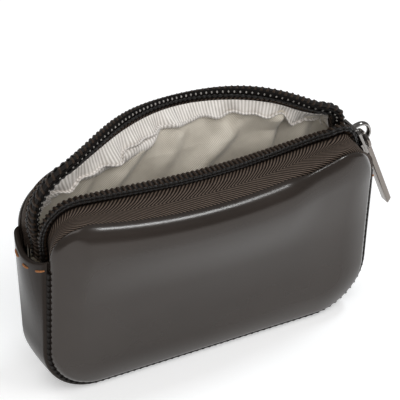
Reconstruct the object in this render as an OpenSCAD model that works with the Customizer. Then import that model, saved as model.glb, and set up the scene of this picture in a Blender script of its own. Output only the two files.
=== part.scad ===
// Coin purse standing open: two padded leather faces, a wrapped gusset, a lined pocket
// and a coil zip over the mouth with a metal slider and puller.
// Millimetres. The origin is the middle of the flat base, X runs along the width,
// Y to the back and Z up. The shape is the open purse, with the slider at the right end.

/* [Leather body] */
// Width of each face, from seam to seam
face_w = 110; // [90:1:130]
// Height of the top edge of each face
face_h = 66; // [58:1:76]
// Distance between the two seams at the base
base_depth = 16; // [14:1:20]
// Distance between the two seams at the height of the top edge
mouth_depth = 26; // [22:1:30]
// Radius of the lower corners
bottom_r = 17; // [12:1:20]
// Radius of the upper corners
top_r = 14; // [11:1:17]
// Thickness of the leather
leather_t = 1.4; // [1:0.1:1.6]
// How far the padded faces swell out of the seam
face_swell = 2.4; // [1:0.1:3]
// Width of the rounded border that leads from the seam to the swell
border_w = 10; // [7:0.5:12]
// How far the front lip leans forward in the open purse
lip_lean = 5.3; // [2:0.1:6]
// How far the front lip sags in the open purse
lip_sag = 5.8; // [2:0.1:6]
// How far the gusset stands outside the seam
gusset_proud = 1.7; // [1.7:0.1:2.2]
// Drop of the gusset's two top corners below the top edge of the faces
gusset_drop = 13; // [12:0.5:18]
// Dip of the gusset's top edge between its corners
gusset_dip = 3.2; // [1:0.1:4]

/* [Inside] */
// Thickness of the padding behind each face
padding_t = 0.8; // [0.5:0.1:0.9]
// Thickness of the lining cloth
lining_t = 0.4; // [0.3:0.1:0.5]
// Thickness of the board in the base
board_t = 0.6; // [0.4:0.1:0.8]
// Room between layers that lie on each other
layer_gap = 0.3; // [0.25:0.05:0.4]

/* [Zip] */
// Width of each tape, from the lip to the middle of its coil
tape_w = 12.6; // [11:0.1:14]
// Thickness of the tape
tape_t = 0.6; // [0.4:0.1:0.7]
// Distance from one turn of the coil to the next
coil_pitch = 1.6; // [1.5:0.05:2]
// Width of the coil
coil_w = 3.4; // [3:0.1:3.6]
// Thickness of the coil
coil_t = 2.6; // [2.4:0.1:2.8]
// Diameter of the coil's filament
filament_d = 0.72; // [0.6:0.02:0.8]
// Diameter of the cord inside the coil
core_d = 0.5; // [0.4:0.05:0.7]
// Angle of the front tape above the closed position
front_fold = 26; // [15:1:35]
// Angle of the back tape above the closed position
back_fold = 117; // [95:1:125]
// Width of the ribbed binding inside the tape
binding_w = 5; // [4:0.5:6]
// Thickness of the binding
binding_t = 0.5; // [0.4:0.1:0.6]

/* [Slider and puller] */
// Angle round the right corner at which the slider stands
slider_angle = 67; // [60:1:72]
// Length of the slider
slider_l = 10.5; // [9.5:0.5:11]
// Width of the slider
slider_w = 10; // [9.6:0.1:11]
// Thickness of the slider's two plates
plate_t = 1.2; // [1:0.1:1.4]
// Radius of the puller's ring, at the middle of its wire
ring_r = 2.9; // [2.7:0.1:3.2]
// Diameter of the ring's wire
wire_d = 1.5; // [1.2:0.1:1.6]
// Length of the puller's bar
bar_l = 25; // [18:1:28]
// Width of the puller's bar
bar_w = 4; // [3.4:0.1:5]
// Thickness of the puller's bar
bar_t = 1.8; // [1.4:0.1:2]
// Angle of the hanging puller from the slider's plates
puller_angle = 2; // [0:1:6]

/* [Stitching] */
// Distance from one stitch of the side seams to the next
stitch_pitch = 2.2; // [2:0.1:3]
// Diameter of the thread
thread_d = 0.6; // [0.4:0.05:0.65]
// Distance of the gusset's end stitches from its top edge
end_stitch_drop = 2.8; // [2.5:0.1:4]
// Distance from one end stitch to the next
end_stitch_pitch = 6.9; // [5:0.1:7]
// Length of each end stitch
end_stitch_l = 3.6; // [3:0.1:4]

/* [Hidden] */
$fn = 48;
front = -1;
back = 1;
half_w = face_w / 2;
gusset_h = face_h - gusset_drop;
seam_z = gusset_proud;
gusset_in = gusset_proud - leather_t;
bend_z = seam_z + bottom_r;
// Heights above which the front face starts to lean and to sag
lean_from_z = 20;
sag_from_z = 32;
// Insets of the padding and the lining from the seam
padding_inset = 2.6;
lining_inset = 3.4;
// Steps along the rows and columns of the padded faces
corner_steps = 4;
side_steps = 5;
column_steps = 16;

// Offsets of the layers behind a face, measured inwards from the middle of the leather
padding_gap = layer_gap * 1.5;
padding_top = leather_t / 2 + padding_gap;
lining_top = padding_top + padding_t + layer_gap;
stack_in = lining_top + lining_t + layer_gap;

// The zip runs from the foot of one gusset end to the other, over the mouth
zip_foot_drop = 7;
zip_foot_z = gusset_h - zip_foot_drop;
// Drop of the gusset's lining below the foot of the zip
lining_drop = 1;
zip_side_l = face_h - top_r - zip_foot_z;
zip_arc_l = PI * top_r / 2;
zip_top_l = face_w - 2 * top_r;
zip_l = 2 * zip_side_l + 2 * zip_arc_l + zip_top_l;
slider_s = zip_side_l + zip_arc_l + zip_top_l + PI * top_r * slider_angle / 180;
// Length along the zip at which the mouth starts to open
open_from = 6;
// Shape of the opening: where it is widest and how sharply it grows, front then back
open_skew_ratio = [1, 1.16];
open_power_ratio = [1.5, 1.1];
open_spread_ratio = 0.65;
// Angles of the closed tape at the ends and at the slider
end_fold = -4.5;
slider_fold = 2;
// Share of the zip's length at which the closed tape starts to rise to the slider
rise_from = 0.4;
// How far the zip's ends tuck in behind the gusset, and over which length
tuck_in = 1.2;
tuck_l = 20;
coil_clear = 0.3;
coil_y = coil_w / 2 + coil_clear;
// The slider's wedge parts the coils by this much, which fades out along the open side
coil_part = 1.3;
part_l = 24;
part_from = 30;
// The zip runs straight through the slider, and eases into its curve over these lengths
straight_l = slider_l * 0.52;
open_ease_l = 9;
end_ease_l = 3.5;
// The coils end just behind the slider, and the tapes run on into the gusset
coil_past = 0.6;
coil_l = slider_s + slider_l / 2 + coil_past;
coil_a = (coil_w - filament_d) / 2;
coil_c = (coil_t - filament_d) / 2;
tape_top = coil_t / 2 + coil_clear / 2;
tape_mid = tape_top + tape_t / 2;
// The tape lies flat for this length beside the coil, then turns to the lip
knee_clear = 0.9;
tape_flat = slider_w / 2 - coil_y + knee_clear;
lip_gap = leather_t / 2 + layer_gap;
binding_gap = layer_gap * 1.5;
// Steps along the tapes: even over the mouth, fine near the slider
mouth_steps = 48;
slider_steps = 24;
fine_from = slider_s - slider_l;
coil_rings = 6;

// Slider, in its own frame: X to the tail, Z outwards
channel_play = 0.35;
channel_top = coil_t / 2 + channel_play;
channel_bottom = -tape_top - tape_t - channel_play;
plate_top = channel_top + plate_t;
shoulder_r = slider_l * 0.62;
lower_short = 1.2;
rail_w = 0.7;
rail_l = slider_l * 0.4;
rail_bottom = channel_play - coil_t / 2;
wedge_l = 2.2;
wedge_from = 0.4;
bridge_w = 2;
bridge_t = 1;
bridge_post = 1.6;
pivot_x = -0.4;
ring_play = 0.35;
ring_lift = 1.05;
ring_room = 0.55;
pivot_z = plate_top + wire_d / 2 + ring_lift;
bridge_in_z = pivot_z + wire_d / 2 + ring_room;
bridge_gap = ring_r - wire_d / 2 - ring_play;
bridge_r = (bridge_in_z + bridge_t - plate_top) * 0.48;
bar_from = ring_r * 2;
bar_bevel = bar_t * 0.7;

function smooth(t) =
    let (u = max(0, min(1, t)))
    u * u * (3 - 2 * u);

function mix(a, b, t) = a + (b - a) * t;

function unit(v) = v / norm(v);

// Half of the distance between the seams at a height
function half_depth(z) = mix(base_depth, mouth_depth, z / face_h) / 2;

// Share of the front lip's lean and sag across the width
function lip_share(x) = 1 - pow(x / half_w, 2);

// Distance of a point of the face from its rounded outline
function edge_distance(x, z) =
    let (
        px = abs(x),
        low = [px - half_w + bottom_r, bend_z - z],
        high = [px - half_w + top_r, z - face_h + top_r]
    )
    low[0] > 0 && low[1] > 0 ? bottom_r - norm(low) :
    high[0] > 0 && high[1] > 0 ? top_r - norm(high) :
    min(half_w - px, z - seam_z, face_h - z);

// Swell of the padded face at a distance from its outline
function swell(d) = face_swell * (1 - pow(1 - max(0, min(d, border_w)) / border_w, 2));

// Point of a face's middle surface, moved inwards by a depth
function face_point(side, x, z, depth) =
    let (
        share = side == front ? lip_share(x) : 0,
        lean = lip_lean * share * smooth((z - lean_from_z) / (face_h - lean_from_z)),
        sag = lip_sag * share * smooth((z - sag_from_z) / (face_h - sag_from_z)),
        out = half_depth(z) + lean + swell(edge_distance(x, z))
    )
    [x, side * (out - depth), z - sag];

// Rows of a face from its lower to its upper edge: height and half width
function face_rows(inset) = [
    for (i = [0 : corner_steps])
        let (a = 90 * i / corner_steps, r = bottom_r - inset)
        [seam_z + bottom_r - r * cos(a), half_w - bottom_r + r * sin(a)],
    for (i = [1 : side_steps - 1])
        [mix(bend_z, face_h - top_r, i / side_steps), half_w - inset],
    for (i = [0 : corner_steps])
        let (a = 90 * i / corner_steps, r = top_r - inset)
        [face_h - top_r + r * sin(a), half_w - top_r + r * cos(a)]
];

// Closed loops of a layer of a face, one for each row
function face_loops(side, inset, depth, thick) = [
    for (row = face_rows(inset)) [
        for (j = [0 : column_steps])
            face_point(side, row[1] * sin(90 * (2 * j / column_steps - 1)), row[0], depth),
        for (j = [column_steps : -1 : 0])
            face_point(side, row[1] * sin(90 * (2 * j / column_steps - 1)), row[0], depth + thick)
    ]
];

// Solid through a row of closed loops, each of an even number of points
module loft(loops, flip = false) {
    n = len(loops[0]);
    last = (len(loops) - 1) * n;
    quads = concat(
        [for (i = [0 : len(loops) - 2], j = [0 : n - 1])
            let (k = (j + 1) % n) [i * n + j, i * n + k, i * n + n + k, i * n + n + j]],
        [for (j = [0 : n / 2 - 2]) [n - 1 - j, n - 2 - j, j + 1, j]],
        [for (j = [0 : n / 2 - 2]) [last + j, last + j + 1, last + n - 2 - j, last + n - 1 - j]]
    );
    faces = [for (q = quads) each [[q[0], q[1], q[2]], [q[0], q[2], q[3]]]];
    polyhedron(
        points = [for (loop = loops) each loop],
        faces = flip ? [for (f = faces) [f[2], f[1], f[0]]] : faces
    );
}

// Outline that both faces share over the mouth: x, z and the outward direction
function rim_path(s) =
    let (
        arc_s = zip_side_l + zip_arc_l,
        left_a = (s - zip_side_l) / top_r * 180 / PI,
        right_a = (s - arc_s - zip_top_l) / top_r * 180 / PI
    )
    s < zip_side_l ? [-half_w, zip_foot_z + s, -1, 0] :
    s < arc_s ?
        [-half_w + top_r - top_r * cos(left_a), face_h - top_r + top_r * sin(left_a),
            -cos(left_a), sin(left_a)] :
    s < arc_s + zip_top_l ? [-half_w + top_r + s - arc_s, face_h, 0, 1] :
    s < arc_s + zip_top_l + zip_arc_l ?
        [half_w - top_r + top_r * sin(right_a), face_h - top_r + top_r * cos(right_a),
            sin(right_a), cos(right_a)] :
    [half_w, face_h - top_r - (s - arc_s - zip_top_l - zip_arc_l), 1, 0];

// Share by which the mouth is open at a length along the zip
function open_share(side, s) =
    let (
        i = side == front ? 0 : 1,
        u = (s - open_from) / (slider_s - slider_l / 2 - open_from),
        t = pow(max(0, min(1, u)), open_skew_ratio[i])
    )
    pow(max(0, sin(180 * t)), open_power_ratio[i]);

// Angle of the closed tape above level
function closed_fold(s) =
    let (from = zip_l * rise_from)
    s < slider_s ? mix(end_fold, slider_fold, smooth((s - from) / (slider_s - from))) :
    mix(slider_fold, end_fold, smooth((s - slider_s) / (zip_l - slider_s)));

// Share by which the zip runs straight through the slider
function straight_share(s) =
    1 - smooth((abs(s - slider_s) - straight_l) / (s < slider_s ? open_ease_l : end_ease_l));

// Path of the closed zip: the rim, made straight at the slider
function zip_path(s) =
    let (
        p = rim_path(s),
        q = rim_path(slider_s),
        t = straight_share(s),
        l = s - slider_s,
        n = unit([mix(p[2], q[2], t), mix(p[3], q[3], t)])
    )
    [mix(p[0], q[0] + q[3] * l, t), mix(p[1], q[1] - q[2] * l, t), n[0], n[1]];

// How far the zip's end is tucked in
function tuck(s) = tuck_in * (2 - smooth(s / tuck_l) - smooth((zip_l - s) / tuck_l));

// Top edge of a face at a length along the zip
function lip_point(side, s) =
    let (p = rim_path(s), share = side == front ? lip_share(p[0]) : 0)
    [p[0] - tuck(s) * p[2], side * (half_depth(p[1]) + lip_lean * share), p[1] - lip_sag * share];

// Distance of a closed coil from the middle, wider at the slider's wedge
function closed_y(s) =
    let (l = slider_s - s)
    coil_y + coil_part * smooth(l / (slider_l / 2)) * smooth((part_from - l) / part_l);

// Middle of a coil at a length along the zip
function coil_point(side, s) =
    let (
        p = zip_path(s),
        lip = lip_point(side, s),
        bent = 1 - straight_share(s),
        open = open_share(side, s),
        shut = mix(slider_fold, closed_fold(s), bent),
        fold = mix(shut, side == front ? front_fold : back_fold, open),
        reach = min(tape_w * cos(fold), abs(lip[1]) - coil_y),
        rise = tape_w * sin(fold) - tuck(s) * bent,
        sag = (rim_path(s)[1] - lip[2]) * bent,
        y = mix(side * closed_y(s), lip[1] - side * reach, pow(open, open_spread_ratio))
    )
    [p[0] + rise * p[2], y, p[1] - sag + rise * p[3]];

// Frame of a coil: middle, direction across the tape, outward direction, direction along
function coil_frame(side, s) =
    let (
        step = coil_pitch / 8,
        mid = coil_point(side, s),
        along = unit(coil_point(side, s + step) - coil_point(side, s - step)),
        slant = mix(unit(mid - lip_point(side, s)), [0, -side, 0], straight_share(s)),
        across = unit(slant - along * (slant * along)),
        out = -side * cross(along, across)
    )
    [mid, across, out, along];

// Cross-section of a tape: outer face from the lip to the coil, inner face back
function tape_loop(side, s) =
    let (
        f = coil_frame(side, s),
        lip = lip_point(side, s),
        edge = f[0] - f[2] * tape_mid,
        knee = edge - f[1] * tape_flat,
        root = lip + unit(knee - lip) * lip_gap,
        lift = f[2] * tape_t / 2
    )
    [root + lift, knee + lift, edge + lift, edge - lift, knee - lift, root - lift];

// Cross-section of the binding, on the inner face of the tape
function binding_loop(side, s) =
    let (
        f = coil_frame(side, s),
        t = tape_loop(side, s),
        down = unit(t[5] - t[4]),
        inner = -side * unit(cross(f[3], down)),
        from = t[4] + inner * binding_gap + down * binding_gap,
        to = from + down * min(binding_w, norm(t[5] - t[4]) - stack_in),
        thick = inner * binding_t
    )
    [to, from, from + thick, to + thick];

// Lengths along the zip at which the tapes are drawn
function zip_steps(end) = [
    for (i = [0 : mouth_steps - 1]) mix(0, fine_from, i / mouth_steps),
    for (i = [0 : slider_steps]) mix(fine_from, end, i / slider_steps)
];

// Middle of a coil's filament at a length along the zip
function filament_point(side, s) =
    let (f = coil_frame(side, s), a = 360 * s / coil_pitch)
    f[0] + f[1] * coil_a * cos(a) + f[2] * coil_c * sin(a);

// Ring of four points round a coil's filament
function filament_loop(side, s) =
    let (
        f = coil_frame(side, s),
        a = 360 * s / coil_pitch,
        mid = filament_point(side, s),
        turn = f[2] * coil_c * cos(a) - f[1] * coil_a * sin(a),
        along = unit(turn + f[3] * coil_pitch / (2 * PI)),
        u = unit(cross(along, f[3])) * filament_d / 2,
        v = cross(along, u)
    )
    [mid + u, mid + v, mid - u, mid - v];

// Least gap between a turn of a coil and the next ones
function coil_gap(points) = min([
    for (i = [0 : len(points) - 1], j = [i + coil_rings - 2 : i + 2 * coil_rings])
        if (j < len(points)) norm(points[j] - points[i])
]) - filament_d;

// Ring round the cord inside a coil
function core_loop(side, s) =
    let (f = coil_frame(side, s))
    [for (i = [0 : 5]) f[0] + (f[1] * cos(60 * i) + f[2] * sin(60 * i)) * core_d / 2];

// Outline of the purse seen from the front, grown by an offset and open at the top
module u_outline(grow) {
    translate([-half_w - grow, bend_z])
        square([face_w + 2 * grow, face_h - bend_z]);
    translate([-half_w + bottom_r, seam_z - grow])
        square([face_w - 2 * bottom_r, bottom_r + grow]);
    for (side = [-1, 1])
        translate([side * (half_w - bottom_r), bend_z])
            circle(bottom_r + grow);
}

// Block between the two faces, up to a height, that leaves a margin at each seam
module between_faces(margin, top_z) {
    low = half_depth(0) - margin;
    high = half_depth(top_z) - margin;
    rotate([90, 0, 90])
        linear_extrude(face_w * 2, center = true)
            polygon([[-low, 0], [low, 0], [high, top_z], [-high, top_z]]);
}

// Strip that follows the purse's sides and base between two offsets
module u_strip(inner, outer, margin, top_z) {
    intersection() {
        rotate([90, 0, 0])
            linear_extrude(mouth_depth * 2, center = true)
                difference() {
                    u_outline(outer);
                    u_outline(inner);
                }
        between_faces(margin, top_z);
    }
}

// Height of the gusset's dipped top edge at a distance from the middle
dip_half = half_depth(gusset_h) - leather_t / 2;
dip_r = (pow(dip_half, 2) + pow(gusset_dip, 2)) / (2 * gusset_dip);
dip_z = gusset_h - gusset_dip + dip_r;
function gusset_edge(y) = dip_z - sqrt(pow(dip_r, 2) - pow(y, 2));

module gusset() {
    color([0.13, 0.11, 0.1])
        difference() {
            u_strip(gusset_in, gusset_proud, leather_t / 2 + layer_gap, gusset_h);
            translate([0, 0, dip_z])
                rotate([0, 90, 0])
                    cylinder(r = dip_r, h = face_w * 2, center = true);
        }
}

module gusset_lining() {
    color([0.72, 0.69, 0.63])
        u_strip(-board_t - layer_gap - lining_t, -board_t - layer_gap, stack_in, zip_foot_z - lining_drop);
}

module base_board() {
    board_l = face_w - 2 * bottom_r;
    board_w = 2 * (half_depth(seam_z) - stack_in);
    color([0.6, 0.55, 0.45])
        translate([-board_l / 2, -board_w / 2, seam_z - gusset_in + layer_gap])
            cube([board_l, board_w, board_t]);
}

module face_layer(side, inset, depth, thick) {
    loft(face_loops(side, inset, depth, thick), flip = side == front);
}

module face_leather(side) {
    color([0.16, 0.14, 0.13])
        face_layer(side, 0, -leather_t / 2, leather_t);
}

module face_padding(side) {
    color([0.5, 0.48, 0.44])
        face_layer(side, padding_inset, padding_top, padding_t);
}

module face_lining(side) {
    color([0.75, 0.72, 0.66])
        face_layer(side, lining_inset, lining_top, lining_t);
}

module front_panel() {
    face_leather(front);
}

module back_panel() {
    face_leather(back);
}

module front_padding() {
    face_padding(front);
}

module back_padding() {
    face_padding(back);
}

module front_lining() {
    face_lining(front);
}

module back_lining() {
    face_lining(back);
}

// Point of the side seam at a length from the left gusset end, moved out by an offset
function seam_point(l, grow) =
    let (
        side_l = gusset_h - gusset_dip - bend_z,
        arc_l = PI * bottom_r / 2,
        base_l = face_w - 2 * bottom_r,
        left_a = (l - side_l) / bottom_r * 180 / PI,
        right_a = (l - side_l - arc_l - base_l) / bottom_r * 180 / PI,
        r = bottom_r + grow
    )
    l < side_l ? [-half_w - grow, bend_z + side_l - l] :
    l < side_l + arc_l ? [-half_w + bottom_r - r * cos(left_a), bend_z - r * sin(left_a)] :
    l < side_l + arc_l + base_l ? [-half_w + bottom_r + l - side_l - arc_l, seam_z - grow] :
    l < side_l + 2 * arc_l + base_l ?
        [half_w - bottom_r + r * sin(right_a), bend_z - r * cos(right_a)] :
    [half_w + grow, bend_z + l - side_l - 2 * arc_l - base_l];

// Thread bars that cross the groove between a face and the gusset
module seam_stitches(side) {
    seam_l = 2 * (gusset_h - gusset_dip - bend_z) + PI * bottom_r + face_w - 2 * bottom_r;
    count = floor(seam_l / stitch_pitch);
    groove = thread_d / 2 + layer_gap / 2;
    color([0.1, 0.09, 0.08])
        for (i = [0.5 : count - 0.5]) {
            p = seam_point(i * stitch_pitch, groove);
            translate([p[0], side * (half_depth(p[1]) + layer_gap / 2), p[1]])
                rotate([90, 0, 0])
                    cylinder(d = thread_d, h = leather_t, center = true);
        }
}

module front_seam_stitches() {
    seam_stitches(front);
}

module back_seam_stitches() {
    seam_stitches(back);
}

// Row of stitches under the dipped top edge of a gusset end
module end_stitches(side) {
    reach = half_depth(gusset_h) - leather_t - end_stitch_l / 2;
    color([0.7, 0.42, 0.22])
        for (y = [-reach : end_stitch_pitch : reach])
            translate([
                side * (half_w + gusset_proud + thread_d / 2 + layer_gap / 2), y,
                gusset_edge(y) - end_stitch_drop
            ])
                rotate([90, 0, 0])
                    cylinder(d = thread_d, h = end_stitch_l, center = true);
}

module left_end_stitches() {
    end_stitches(-1);
}

module right_end_stitches() {
    end_stitches(1);
}

module tape(side) {
    color([0.2, 0.17, 0.15])
        loft([for (s = zip_steps(zip_l)) tape_loop(side, s)], flip = side == back);
}

module binding(side) {
    color([0.82, 0.79, 0.76])
        loft([for (s = zip_steps(slider_s)) binding_loop(side, s)], flip = side == back);
}

module coil(side) {
    turns = floor(coil_l / coil_pitch);
    steps = [for (i = [0 : turns * coil_rings]) i * coil_pitch / coil_rings];
    echo(least_coil_gap = coil_gap([for (s = steps) filament_point(side, s)]));
    color([0.09, 0.07, 0.06])
        loft([for (s = steps) filament_loop(side, s)], flip = true);
}

module coil_core(side) {
    color([0.15, 0.13, 0.12])
        loft([for (s = zip_steps(coil_l)) core_loop(side, s)], flip = side == front);
}

module front_tape() {
    tape(front);
}

module back_tape() {
    tape(back);
}

module front_binding() {
    binding(front);
}

module back_binding() {
    binding(back);
}

module front_coil() {
    coil(front);
}

module back_coil() {
    coil(back);
}

module front_coil_core() {
    coil_core(front);
}

module back_coil_core() {
    coil_core(back);
}

// Places the slider's own frame on the closed end of the zip
module at_slider() {
    mid = (coil_point(front, slider_s) + coil_point(back, slider_s)) / 2;
    translate(mid)
        rotate([0, slider_angle, 0])
            children();
}

// Plate of the slider with round shoulders, cut short at its tail
module slider_plate(z, short) {
    translate([0, 0, z])
        linear_extrude(plate_t)
            intersection() {
                translate([-slider_l / 2, -slider_w / 2])
                    square([slider_l - short, slider_w]);
                circle(shoulder_r);
            }
}

module slider_body() {
    color([0.55, 0.54, 0.52])
        at_slider() {
            slider_plate(channel_top, 0);
            slider_plate(channel_bottom - plate_t, lower_short);
            for (side = [-1, 1])
                translate([0, side * (slider_w - rail_w) / 2 - rail_w / 2, rail_bottom])
                    cube([rail_l, rail_w, channel_top - rail_bottom]);
            translate([-slider_l / 2 + wedge_from, -coil_part / 2, channel_bottom])
                cube([wedge_l, coil_part, channel_top - channel_bottom]);
        }
}

module slider_bridge() {
    reach = bridge_gap + bridge_post;
    out_z = bridge_in_z + bridge_t;
    color([0.62, 0.61, 0.6])
        at_slider()
            translate([pivot_x, 0, 0])
                rotate([90, 0, 0])
                    linear_extrude(bridge_w, center = true)
                        difference() {
                            union() {
                                translate([-reach, plate_top])
                                    square([2 * reach, out_z - bridge_r - plate_top]);
                                translate([-reach + bridge_r, plate_top])
                                    square([2 * (reach - bridge_r), out_z - plate_top]);
                                for (side = [-1, 1])
                                    translate([side * (reach - bridge_r), out_z - bridge_r])
                                        circle(bridge_r);
                            }
                            translate([-bridge_gap, plate_top - bridge_t])
                                square([2 * bridge_gap, bridge_in_z - plate_top + bridge_t]);
                        }
}

// Ring through the bridge and a flat bar, hanging at its angle from the slider
module puller() {
    color([0.5, 0.49, 0.47])
        at_slider()
            translate([pivot_x, 0, pivot_z])
                rotate([0, puller_angle, 0]) {
                    translate([ring_r, 0, 0])
                        rotate_extrude()
                            translate([ring_r, 0])
                                circle(d = wire_d);
                    translate([bar_from, 0, 0])
                        rotate([90, 0, 0])
                            linear_extrude(bar_w, center = true)
                                polygon([
                                    [0, -bar_t / 2], [bar_l, -bar_t / 2],
                                    [bar_l - bar_bevel, bar_t / 2], [0, bar_t / 2]
                                ]);
                }
}

gusset();
front_panel();
back_panel();
front_padding();
back_padding();
base_board();
front_lining();
back_lining();
gusset_lining();
front_seam_stitches();
back_seam_stitches();
left_end_stitches();
right_end_stitches();
front_tape();
back_tape();
front_binding();
back_binding();
front_coil();
back_coil();
front_coil_core();
back_coil_core();
slider_body();
slider_bridge();
puller();
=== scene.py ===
import math

import bmesh
import bpy
from mathutils import Matrix, Vector, noise


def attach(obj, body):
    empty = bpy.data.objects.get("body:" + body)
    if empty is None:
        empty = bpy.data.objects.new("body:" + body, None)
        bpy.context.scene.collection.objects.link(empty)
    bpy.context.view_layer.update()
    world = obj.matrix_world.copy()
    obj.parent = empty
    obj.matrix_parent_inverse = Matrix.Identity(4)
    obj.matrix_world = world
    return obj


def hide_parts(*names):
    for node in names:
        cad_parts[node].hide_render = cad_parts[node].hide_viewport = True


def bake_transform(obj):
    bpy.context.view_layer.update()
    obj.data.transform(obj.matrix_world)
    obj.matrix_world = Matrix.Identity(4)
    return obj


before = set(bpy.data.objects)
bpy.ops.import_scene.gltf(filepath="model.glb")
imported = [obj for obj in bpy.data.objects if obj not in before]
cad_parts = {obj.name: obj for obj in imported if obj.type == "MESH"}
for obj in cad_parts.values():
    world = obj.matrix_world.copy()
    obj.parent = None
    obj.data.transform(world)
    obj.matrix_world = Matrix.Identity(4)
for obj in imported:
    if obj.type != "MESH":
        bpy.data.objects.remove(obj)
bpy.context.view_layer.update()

# Sizes of the frame, in millimetres
MM = 0.001
FRONT, BACK = -1, 1
FACE_W, FACE_H = 110.0, 66.0
HALF_W = FACE_W / 2
BASE_DEPTH, MOUTH_DEPTH = 16.0, 26.0
BOTTOM_R, TOP_R = 17.0, 14.0
SEAM_Z = 1.7
BEND_Z = SEAM_Z + BOTTOM_R
LEATHER_T = 1.4
FACE_SWELL, BORDER_W = 2.4, 10.0
LIP_LEAN, LIP_SAG = 5.3, 5.8
LEAN_FROM_Z, SAG_FROM_Z = 20.0, 32.0
GUSSET_PROUD, GUSSET_H, GUSSET_DIP = 1.7, 53.0, 3.2
TAPE_W, TAPE_T = 12.6, 0.6
COIL_PITCH, COIL_W, COIL_T = 1.6, 3.4, 2.6
FRONT_FOLD, BACK_FOLD = 26.0, 117.0
SLIDER_ANGLE, SLIDER_L, SLIDER_W, PLATE_T = 67.0, 10.5, 10.0, 1.2
RING_R, WIRE_D = 2.9, 1.5
BAR_L, BAR_W, BAR_T, PULLER_ANGLE = 25.0, 4.0, 1.8, 2.0
STITCH_PITCH = 2.2
END_STITCH_DROP, END_STITCH_PITCH, END_STITCH_L = 2.8, 6.9, 3.6

# The zip's path, as the frame draws it
ZIP_FOOT_Z = GUSSET_H - 7
ZIP_SIDE_L = FACE_H - TOP_R - ZIP_FOOT_Z
ZIP_ARC_L = math.pi * TOP_R / 2
ZIP_TOP_L = FACE_W - 2 * TOP_R
ZIP_L = 2 * ZIP_SIDE_L + 2 * ZIP_ARC_L + ZIP_TOP_L
SLIDER_S = ZIP_SIDE_L + ZIP_ARC_L + ZIP_TOP_L + math.radians(SLIDER_ANGLE) * TOP_R
OPEN_FROM = 6.0
OPEN_SKEW = {FRONT: 1.0, BACK: 1.16}
OPEN_POWER = {FRONT: 1.5, BACK: 1.1}
OPEN_SPREAD = 0.65
END_FOLD, SLIDER_FOLD, RISE_FROM = -4.5, 2.0, 0.4
TUCK_IN, TUCK_L = 1.2, 20.0
COIL_CLEAR = 0.3
COIL_Y = COIL_W / 2 + COIL_CLEAR
COIL_PART, PART_L, PART_FROM = 1.3, 24.0, 30.0
STRAIGHT_L, OPEN_EASE_L, END_EASE_L = SLIDER_L * 0.52, 9.0, 3.5
COIL_L = SLIDER_S + SLIDER_L / 2 + 0.6
TAPE_MID = COIL_T / 2 + COIL_CLEAR / 2 + TAPE_T / 2
TAPE_FLAT = SLIDER_W / 2 - COIL_Y + 0.9
# The zip's halves are each made in two lengths that meet at a whole turn of the coil
SPLIT_S = 43 * COIL_PITCH


def clamp(t, low=0.0, high=1.0):
    return max(low, min(high, t))


def smooth(t):
    t = clamp(t)
    return t * t * (3 - 2 * t)


def mix(a, b, t):
    return a + (b - a) * t


def bell(t):
    return math.exp(-t * t)


def half_depth(z):
    """Half of the purse's depth at a height."""
    return mix(BASE_DEPTH, MOUTH_DEPTH, z / FACE_H) / 2


def lip_share(side, x):
    """Share of the front lip's lean and sag at x; the back lip is straight."""
    return 1 - (x / HALF_W) ** 2 if side == FRONT else 0.0


def edge_distance(x, z):
    """Distance of a spot of a face from its rounded outline."""
    px = abs(x)
    low = (px - HALF_W + BOTTOM_R, BEND_Z - z)
    high = (px - HALF_W + TOP_R, z - FACE_H + TOP_R)
    if low[0] > 0 and low[1] > 0:
        return BOTTOM_R - math.hypot(*low)
    if high[0] > 0 and high[1] > 0:
        return TOP_R - math.hypot(*high)
    return min(HALF_W - px, z - SEAM_Z, FACE_H - z)


def swell(d):
    return FACE_SWELL * (1 - (1 - clamp(d, 0, BORDER_W) / BORDER_W) ** 2)


def face_out(side, x, z):
    """Distance of a face's middle surface from the middle plane, and the sag of its top."""
    share = lip_share(side, x)
    lean = LIP_LEAN * share * smooth((z - LEAN_FROM_Z) / (FACE_H - LEAN_FROM_Z))
    sag = LIP_SAG * share * smooth((z - SAG_FROM_Z) / (FACE_H - SAG_FROM_Z))
    return half_depth(z) + lean + swell(edge_distance(x, z)), sag


def rim_path(s):
    """Spot of the faces' rim at a length along the zip, as x and z, and its outward normal."""
    arc_s = ZIP_SIDE_L + ZIP_ARC_L
    if s < ZIP_SIDE_L:
        return -HALF_W, ZIP_FOOT_Z + s, -1.0, 0.0
    if s < arc_s:
        a = (s - ZIP_SIDE_L) / TOP_R
        return (-HALF_W + TOP_R - TOP_R * math.cos(a), FACE_H - TOP_R + TOP_R * math.sin(a),
                -math.cos(a), math.sin(a))
    if s < arc_s + ZIP_TOP_L:
        return -HALF_W + TOP_R + s - arc_s, FACE_H, 0.0, 1.0
    a = (s - arc_s - ZIP_TOP_L) / TOP_R
    if a < math.pi / 2:
        return (HALF_W - TOP_R + TOP_R * math.sin(a), FACE_H - TOP_R + TOP_R * math.cos(a),
                math.sin(a), math.cos(a))
    return HALF_W, FACE_H - TOP_R - (s - arc_s - ZIP_TOP_L - ZIP_ARC_L), 1.0, 0.0


def open_share(side, s):
    """How far a zip half is open: 0 where it is held, 1 at the widest."""
    u = clamp((s - OPEN_FROM) / (SLIDER_S - SLIDER_L / 2 - OPEN_FROM))
    return max(0.0, math.sin(math.pi * u ** OPEN_SKEW[side])) ** OPEN_POWER[side]


def closed_fold(s):
    """Angle at which the closed tape rises from the rim, in degrees."""
    start = ZIP_L * RISE_FROM
    if s < SLIDER_S:
        return mix(END_FOLD, SLIDER_FOLD, smooth((s - start) / (SLIDER_S - start)))
    return mix(SLIDER_FOLD, END_FOLD, smooth((s - SLIDER_S) / (ZIP_L - SLIDER_S)))


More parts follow.
